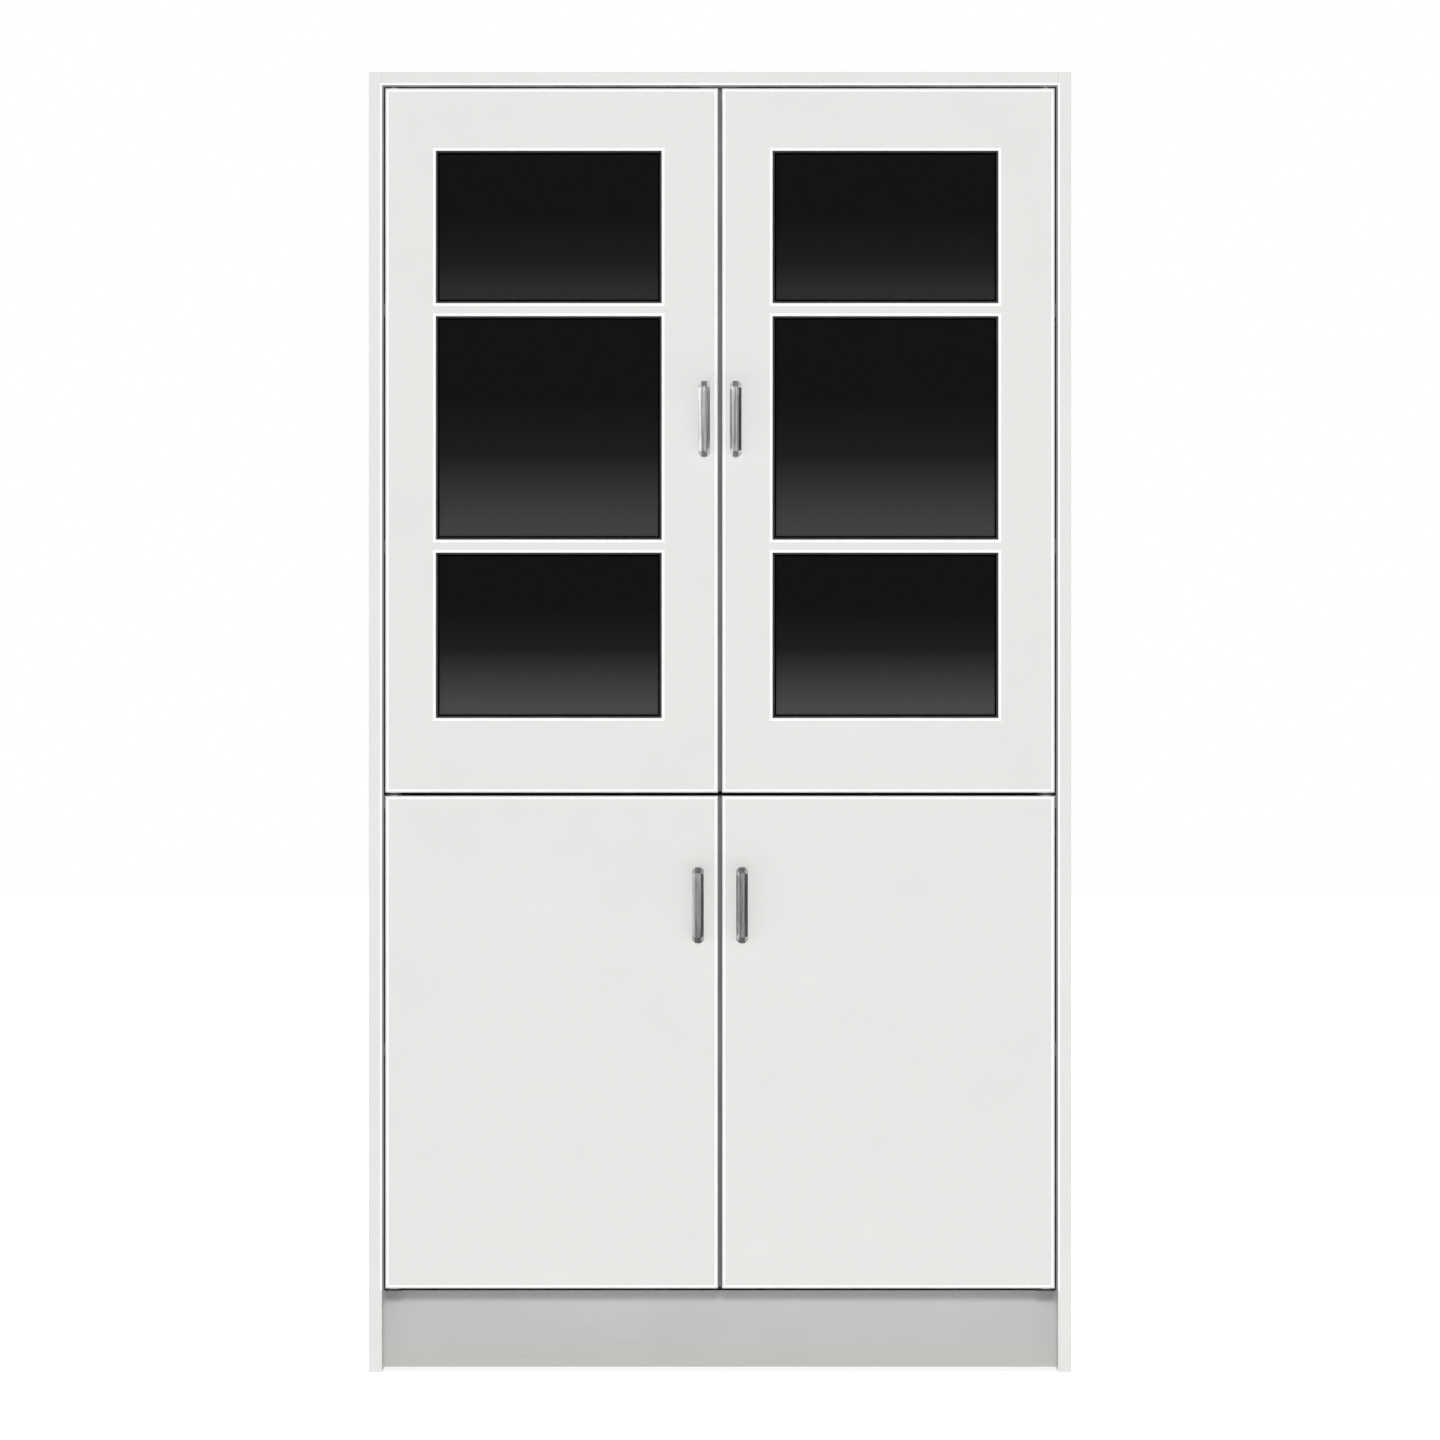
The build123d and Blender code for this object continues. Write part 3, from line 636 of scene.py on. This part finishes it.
class GlazingSettings(bpy.types.PropertyGroup):
    """Look of the dark panes and their painted reflection, and of the dark bead that paints shade round each
    window.
    """

    lap: bpy.props.FloatProperty(
        name="Lap",
        description="How far a pane reaches behind the door, past its window",
        default=5.5 * MM,
        unit="LENGTH",
    )
    # The dark bead round each window is partly a sealing bead and partly painted shade of the window's reveal
    reveal_shade_colour: bpy.props.FloatVectorProperty(
        name="Reveal shade",
        description="Colour of the bead of sealant round each window",
        subtype="COLOR",
        default=(0.05, 0.05, 0.05),
    )
    seal_width: bpy.props.FloatProperty(
        name="Seal width", description="Width of the bead of sealant", default=2.9 * MM, unit="LENGTH"
    )
    seal_rise: bpy.props.FloatProperty(
        name="Seal rise", description="Height of the bead of sealant", default=0.8 * MM, unit="LENGTH"
    )
    tint: bpy.props.FloatVectorProperty(
        name="Tint",
        description="Colour of the glass above the haze",
        subtype="COLOR",
        default=(0.002, 0.002, 0.0017),
    )
    solid: bpy.props.FloatProperty(
        name="Darkness",
        description="Share of light that the glass keeps back",
        default=0.93,
        min=0.0,
        max=1.0,
    )
    shine: bpy.props.FloatProperty(
        name="Shine", description="Strength of the reflections in the glass", default=0.15, min=0.0, max=1.0
    )
    # Each pane's glass is painted paler towards its foot, a painted reflection
    painted_reflection: bpy.props.FloatVectorProperty(
        name="Painted reflection",
        description="Brightness at the foot of the top, middle and bottom panes",
        default=(0.029, 0.058, 0.073),
    )
    painted_reflection_knee: bpy.props.FloatVectorProperty(
        name="Haze knee",
        description="Share of each pane's height where the haze gets thin",
        default=(0.27, 0.38, 0.42),
    )
    painted_reflection_top: bpy.props.FloatVectorProperty(
        name="Haze top",
        description="Share of each pane's height where the haze ends",
        default=(0.55, 0.62, 0.66),
    )
    knee_level: bpy.props.FloatProperty(
        name="Knee level",
        description="Brightness at the knee, as a multiple of the tint",
        default=4.0,
        min=1.0,
    )


class HandleSettings(bpy.types.PropertyGroup):
    """Look of the bow handles."""

    upper_colour: bpy.props.FloatVectorProperty(
        name="Upper",
        description="Colour of the upper handles' plating",
        subtype="COLOR",
        default=(0.80, 0.81, 0.83),
    )
    lower_colour: bpy.props.FloatVectorProperty(
        name="Lower",
        description="Colour of the lower handles' plating",
        subtype="COLOR",
        default=(0.52, 0.53, 0.52),
    )
    roughness: bpy.props.FloatProperty(
        name="Roughness", description="Roughness of the plating", default=0.16, min=0.0, max=1.0
    )
    softness: bpy.props.FloatProperty(
        name="Softness", description="Rounding of the handles' edges", default=1.0 * MM, unit="LENGTH"
    )


class HardwareSettings(bpy.types.PropertyGroup):
    """Colours of pivots, screws, catches and connectors."""

    steel_colour: bpy.props.FloatVectorProperty(
        name="Steel",
        description="Colour of strike plates, pins and screws",
        subtype="COLOR",
        default=(0.60, 0.61, 0.62),
    )
    zinc_colour: bpy.props.FloatVectorProperty(
        name="Zinc",
        description="Colour of cam locks, bolts and shelf supports",
        subtype="COLOR",
        default=(0.56, 0.57, 0.58),
    )
    nylon_colour: bpy.props.FloatVectorProperty(
        name="Nylon", description="Colour of the pivot bushes", subtype="COLOR", default=(0.78, 0.77, 0.72)
    )
    plastic_colour: bpy.props.FloatVectorProperty(
        name="Plastic",
        description="Colour of the catches and the glazing beads",
        subtype="COLOR",
        default=(0.82, 0.82, 0.80),
    )
    beech_colour: bpy.props.FloatVectorProperty(
        name="Beech", description="Colour of the dowels", subtype="COLOR", default=(0.62, 0.44, 0.27)
    )
    plate_colour: bpy.props.FloatVectorProperty(
        name="Pivot plates",
        description="Colour of the painted pivot plates",
        subtype="COLOR",
        default=(0.03, 0.03, 0.032),
    )
    magnet_colour: bpy.props.FloatVectorProperty(
        name="Magnets",
        description="Colour of the catches' magnets",
        subtype="COLOR",
        default=(0.045, 0.045, 0.05),
    )
    softness: bpy.props.FloatProperty(
        name="Softness", description="Rounding of the edges of small parts", default=0.3 * MM, unit="LENGTH"
    )


class StageSettings(bpy.types.PropertyGroup):
    """Floor, light and camera."""

    floor_size: bpy.props.FloatProperty(
        name="Floor", description="Width of the floor", default=120.0, unit="LENGTH"
    )
    floor_glow: bpy.props.FloatProperty(
        name="Floor glow", description="Light that the floor gives of itself", default=0.74, min=0.0
    )
    ambient: bpy.props.FloatProperty(
        name="Ambient", description="Soft light from the front half of the room", default=0.2, min=0.0
    )
    ambient_back: bpy.props.FloatProperty(
        name="Ambient behind", description="Soft light from the back half of the room", default=0.9, min=0.0
    )
    key: bpy.props.FloatProperty(
        name="Key", description="Strength of the main light", default=1.8, min=0.0
    )
    key_height: bpy.props.FloatProperty(
        name="Key height",
        description="Height of the main light over the horizon",
        default=math.radians(30.0),
        subtype="ANGLE",
    )
    key_side: bpy.props.FloatProperty(
        name="Key side", description="How far the main light stands to the left", default=0.0, subtype="ANGLE"
    )
    key_softness: bpy.props.FloatProperty(
        name="Key softness",
        description="Angle that the main light fills",
        default=math.radians(15.0),
        subtype="ANGLE",
    )
    lens: bpy.props.FloatProperty(
        name="Lens", description="Focal length in millimetres", default=400.0, min=1.0
    )
    view_width: bpy.props.FloatProperty(
        name="View width", description="Width of the picture at the doors", default=1.994, unit="LENGTH"
    )
    eye_height: bpy.props.FloatProperty(
        name="Eye height", description="Height of the camera over the floor", default=0.9028, unit="LENGTH"
    )


class CABINET_OT_boards(bpy.types.Operator):
    """Face the carcass, shelves, doors, plinth and back"""

    bl_idname = "cabinet.boards"
    bl_label = "Boards"

    def execute(self, context):
        settings = context.scene.cabinet_boards
        for board in (*CARCASS_BOARDS, *SHELVES):
            dress(board, laminate(f"Laminate {board}", settings.carcass_colour, board, settings))
        for door in DOORS:
            board = f"{door}_door_panel"
            dress(board, laminate(f"Laminate {board}", settings.door_colour, board, settings))
        dress("front_plinth", plinth_laminate(settings.plinth_colour, settings))
        foil = hardboard(settings.back_colour)
        for sheet in BACK_SHEETS:
            dress(sheet, foil)
        return {"FINISHED"}


class CABINET_OT_edging(bpy.types.Operator):
    """Band the front edges in white, which also paints highlight lines along them, and fit the soft lips and
    the dust strip
    """

    bl_idname = "cabinet.edging"
    bl_label = "Edge bands"

    def execute(self, context):
        settings = context.scene.cabinet_edging
        # The white of the bands also paints highlight lines along the edges
        plastic = edge_band_with_painted_highlight(settings.colour)
        for door in DOORS:
            self.band_door(door, settings, plastic)
        self.band_carcass(settings, plastic)
        self.band_shelves(settings, plastic)
        self.fit_lips(settings)
        return {"FINISHED"}

    def band_door(self, door, settings, plastic):
        """A white line round a door's face, a painted highlight just inside its rounded edge, and a white
        band round each window of an upper door, which also paints the highlight along the window's edge.
        """
        body = f"{door}_door"
        low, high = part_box(f"{door}_door_panel")
        line = carry_profile(f"{door}_door_highlight_line", rectangle(low, high), painted_highlight_profile(low.y, settings))
        fit_trim(line, plastic, body)
        if door.startswith("upper"):
            profile = rounded_edge(low.y, settings.door_radius, settings)
            fit_trim(ring_windows(f"{door}_window_edging_and_highlight", door, profile), plastic, body)

    def band_carcass(self, settings, plastic):
        """A white band, which also paints the highlight along the edge, and a dust strip on the inner front
        edges of the sides and the top, down to the plinth.
        """
        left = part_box("left_side_panel")[1].x
        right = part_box("right_side_panel")[0].x
        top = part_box("top_panel")[0]
        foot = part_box("front_plinth")[1].z
        path = [(left, foot), (left, top.z), (right, top.z), (right, foot)]
        profile = rounded_edge(top.y, settings.carcass_radius, settings)
        band = carry_profile("carcass_edging_and_highlight", path, profile, closed=False)
        fit_trim(band, plastic, "carcass")
        rubber = lip_rubber("Strip rubber", settings.strip_colour)
        strip = carry_profile("carcass_strip", path, soft_profile(STRIP_POINTS, top.y), closed=False)
        fit_trim(strip, rubber, "carcass")

    def band_shelves(self, settings, plastic):
        """A band round the front edge of each shelf and of the middle panel."""
        rings = []
        for shelf in (*SHELVES, "middle_panel"):
            low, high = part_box(shelf)
            profile = rounded_edge(low.y, settings.carcass_radius, settings)
            rings.append(carry_profile(f"{shelf}_ring", rectangle(low, high), profile))
        fit_trim(join_pieces(rings, "shelf_edging"), plastic, "carcass")

    def fit_lips(self, settings):
        """A soft lip in the meeting edge of each left door, which keeps dust out of the gap."""
        rubber = lip_rubber("Lip rubber", settings.lip_colour)
        for row in ROWS:
            low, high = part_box(f"{row}_left_door_panel")
            path = [(high.x, low.z + settings.lip_inset), (high.x, high.z - settings.lip_inset)]
            profile = soft_profile(LIP_POINTS, low.y)
            lip = carry_profile(f"{row}_left_door_lip", path, profile, closed=False)
            fit_trim(lip, rubber, f"{row}_left_door")


class CABINET_OT_glazing(bpy.types.Operator):
    """Give the panes smoked glass with a painted reflection, the gaskets and beads their finish, and add a
    dark bead that paints the shade round each window
    """

    bl_idname = "cabinet.glazing"
    bl_label = "Glazing"

    def execute(self, context):
        settings = context.scene.cabinet_glazing
        hardware = context.scene.cabinet_hardware
        painted_reflections = zip(PANES, settings.painted_reflection, settings.painted_reflection_knee, settings.painted_reflection_top)
        panes = [smoked_glass(f"Smoked glass {pane}", settings, *painted_reflection) for pane, *painted_reflection in painted_reflections]
        rubber = gasket_rubber()
        shade_sealant = lip_rubber("Sealant shade", settings.reveal_shade_colour)
        plastic = moulded_plastic("Glazing bead", hardware.plastic_colour, roughness=0.4)
        for hand in HANDS:
            door = f"upper_{hand}"
            for pane, glass in zip(PANES, panes):
                dress(f"{door}_{pane}_glass", glass)
            dress(f"{door}_glazing_gaskets", rubber)
            dress(f"{door}_glazing_beads", plastic)
            soften(f"{door}_glazing_beads", hardware.softness)
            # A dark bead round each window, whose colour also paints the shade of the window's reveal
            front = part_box(f"{door}_glazing_gaskets")[0].y + settings.seal_rise / 2
            profile = bead_profile(front, settings.seal_width, settings.seal_rise)
            shade_seal = ring_windows(f"{door}_window_reveal_shade", door, profile)
            fit_trim(shade_seal, shade_sealant, f"{door}_door")
        return {"FINISHED"}


class CABINET_OT_handles(bpy.types.Operator):
    """Plate the bow handles"""

    bl_idname = "cabinet.handles"
    bl_label = "Handles"

    def execute(self, context):
        settings = context.scene.cabinet_handles
        upright = (1.0, 1.0, 0.02)
        colours = {"upper": settings.upper_colour, "lower": settings.lower_colour}
        for row, colour in colours.items():
            plating = bright_metal(f"Handle plating {row}", colour, settings.roughness, upright)
            for hand in HANDS:
                handle = f"{row}_{hand}_handle"
                dress(handle, plating)
                soften(handle, settings.softness, segments=3)
                # The doors stay evenly lit round the handles
                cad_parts[handle].visible_shadow = False
        return {"FINISHED"}


class CABINET_OT_hardware(bpy.types.Operator):
    """Finish the pivots, screws, catches, connectors and shelf supports"""

    bl_idname = "cabinet.hardware"
    bl_label = "Hardware"

    def execute(self, context):
        settings = context.scene.cabinet_hardware
        pivot_plates = ["top_pivot_plates", "centre_pivot_plates", "bottom_pivot_plates"]
        strike_plates = [f"{door}_strike_plate" for door in DOORS]
        door_screws = [f"{door}_{screw}" for door in DOORS for screw in ("handle_screws", "strike_screw")]
        screws = ["pivot_pins", "pivot_plate_screws", "catch_screws", *door_screws]
        castings = ["cam_locks", "cam_bolts", "shelf_supports"]
        bushes = [f"{door}_pivot_bushes" for door in DOORS]
        wanted = {
            painted_steel(settings.plate_colour): pivot_plates,
            plated_steel("Plated strikes", settings.steel_colour, roughness=0.34): strike_plates,
            plated_steel("Plated screws", settings.steel_colour, roughness=0.26): screws,
            plated_steel("Cast zinc", settings.zinc_colour, roughness=0.42): castings,
            moulded_plastic("Nylon", settings.nylon_colour, roughness=0.38): bushes,
            moulded_plastic("Catch housing", settings.plastic_colour, roughness=0.45): ["catch_housings"],
            beech(settings.beech_colour): ["wood_dowels"],
            ferrite(settings.magnet_colour): ["catch_magnets"],
        }
        for finish, nodes in wanted.items():
            for node in nodes:
                dress(node, finish)
        for node in (*pivot_plates, *strike_plates, "catch_housings", "catch_magnets", "shelf_supports"):
            soften(node, settings.softness)
        return {"FINISHED"}


class CABINET_OT_stage(bpy.types.Operator):
    """Add the floor, the studio light and the camera"""

    bl_idname = "cabinet.stage"
    bl_label = "Stage"

    def execute(self, context):
        settings = context.scene.cabinet_stage
        self.lay_floor(context, settings)
        self.light_room(context, settings)
        self.add_key(context, settings)
        self.set_camera(context, settings)
        context.scene.view_settings.view_transform = "Standard"
        return {"FINISHED"}

    def lay_floor(self, context, settings):
        """A wide pale floor that glows a little, so that it meets the white room without a line."""
        finish = Finish(
            "Studio floor",
            Specular_IOR_Level=0.1,
            Emission_Strength=settings.floor_glow,
            Emission_Color=WHITE,
        )
        finish.paint(finish.mix(finish.spread(finish.noise(0.8, detail=3.0)), grey(0.37), grey(0.39)))
        finish.gloss(finish.noise(3.0), (0.6, 0.7))
        mesh = bmesh.new()
        bmesh.ops.create_grid(mesh, x_segments=8, y_segments=8, size=settings.floor_size / 2)
        data = bpy.data.meshes.new("studio_floor")
        mesh.to_mesh(data)
        mesh.free()
        data.materials.append(finish.material)
        floor = bpy.data.objects.new("studio_floor", data)
        # Mirrored in the panes, the floor would show as a line across them
        floor.visible_glossy = False
        context.scene.collection.objects.link(floor)

    def light_room(self, context, settings):
        """White for the camera, even light for the boards, and light and dark walls for shiny surfaces."""
        world = bpy.data.worlds.new("Studio")
        context.scene.world = world
        world.use_nodes = True
        world.node_tree.nodes.clear()
        room = Room(world.node_tree)
        ray = room.node("ShaderNodeLightPath").outputs
        across, deep, up = room.axes(room.node("ShaderNodeTexCoord").outputs["Generated"])
        rise = room.combine("ABSOLUTE", up)
        walls = room.combine("MAXIMUM", room.spread(across, *LEFT_LIGHT), room.spread(rise, *OVERHEAD_LIGHT))
        walls = room.combine("MAXIMUM", room.spread(deep, *ROOM_LIGHT), walls)
        walls = room.combine("MULTIPLY", walls, room.spread(across, *RIGHT_SHADE))
        walls = room.combine("MULTIPLY", walls, room.spread(rise, *OVERHEAD_SHADE))
        soft = room.spread(deep, FRONT_TO_BACK, (settings.ambient, settings.ambient_back))
        seen = room.choose(ray["Is Glossy Ray"], room.light(soft), room.light(walls))
        seen = room.choose(ray["Is Camera Ray"], seen, room.light(1.0))
        room.node("ShaderNodeOutputWorld", {"Surface": seen})

    def add_key(self, context, settings):
        """The main light, from the front and above."""
        lamp = bpy.data.lights.new("key_light", "SUN")
        lamp.energy = settings.key
        lamp.angle = settings.key_softness
        key = bpy.data.objects.new("key_light", lamp)
        level = math.cos(settings.key_height)
        aside, ahead = math.sin(settings.key_side) * level, math.cos(settings.key_side) * level
        heading = Vector((aside, ahead, -math.sin(settings.key_height)))
        key.rotation_euler = heading.to_track_quat("-Z", "Y").to_euler()
        context.scene.collection.objects.link(key)

    def set_camera(self, context, settings):
        """A long lens, level and square on to the front."""
        lens = bpy.data.cameras.new("camera")
        lens.lens = settings.lens
        lens.clip_end = FAR_CLIP
        camera = bpy.data.objects.new("camera", lens)
        distance = settings.view_width * lens.lens / lens.sensor_width
        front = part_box("top_panel")[0].y
        camera.location = (0.0, front - distance, settings.eye_height)
        camera.rotation_euler = (math.pi / 2, 0.0, 0.0)
        context.scene.collection.objects.link(camera)
        context.scene.camera = camera


OPERATORS = (
    CABINET_OT_boards,
    CABINET_OT_edging,
    CABINET_OT_glazing,
    CABINET_OT_handles,
    CABINET_OT_hardware,
    CABINET_OT_stage,
)
SETTINGS = {
    "cabinet_boards": BoardSettings,
    "cabinet_edging": EdgingSettings,
    "cabinet_glazing": GlazingSettings,
    "cabinet_handles": HandleSettings,
    "cabinet_hardware": HardwareSettings,
    "cabinet_stage": StageSettings,
}


class CABINET_PT_finishes(bpy.types.Panel):
    """Lists the steps, each with its settings"""

    bl_label = "Cabinet"
    bl_idname = "CABINET_PT_finishes"
    bl_space_type = "VIEW_3D"
    bl_region_type = "UI"
    bl_category = "Cabinet"

    def draw(self, context):
        for operator, name in zip(OPERATORS, SETTINGS):
            box = self.layout.box()
            box.operator(operator.bl_idname)
            settings = getattr(context.scene, name)
            for setting in SETTINGS[name].__annotations__:
                box.prop(settings, setting)


def register():
    for name, settings in SETTINGS.items():
        bpy.utils.register_class(settings)
        setattr(bpy.types.Scene, name, bpy.props.PointerProperty(type=settings))
    for shown in (*OPERATORS, CABINET_PT_finishes):
        bpy.utils.register_class(shown)


def unregister():
    for shown in reversed((*OPERATORS, CABINET_PT_finishes)):
        bpy.utils.unregister_class(shown)
    for name, settings in SETTINGS.items():
        delattr(bpy.types.Scene, name)
        bpy.utils.unregister_class(settings)


def main():
    register()
    bpy.ops.cabinet.boards()
    bpy.ops.cabinet.edging()
    bpy.ops.cabinet.glazing()
    bpy.ops.cabinet.handles()
    bpy.ops.cabinet.hardware()
    bpy.ops.cabinet.stage()


if __name__ == "__main__":
    main()
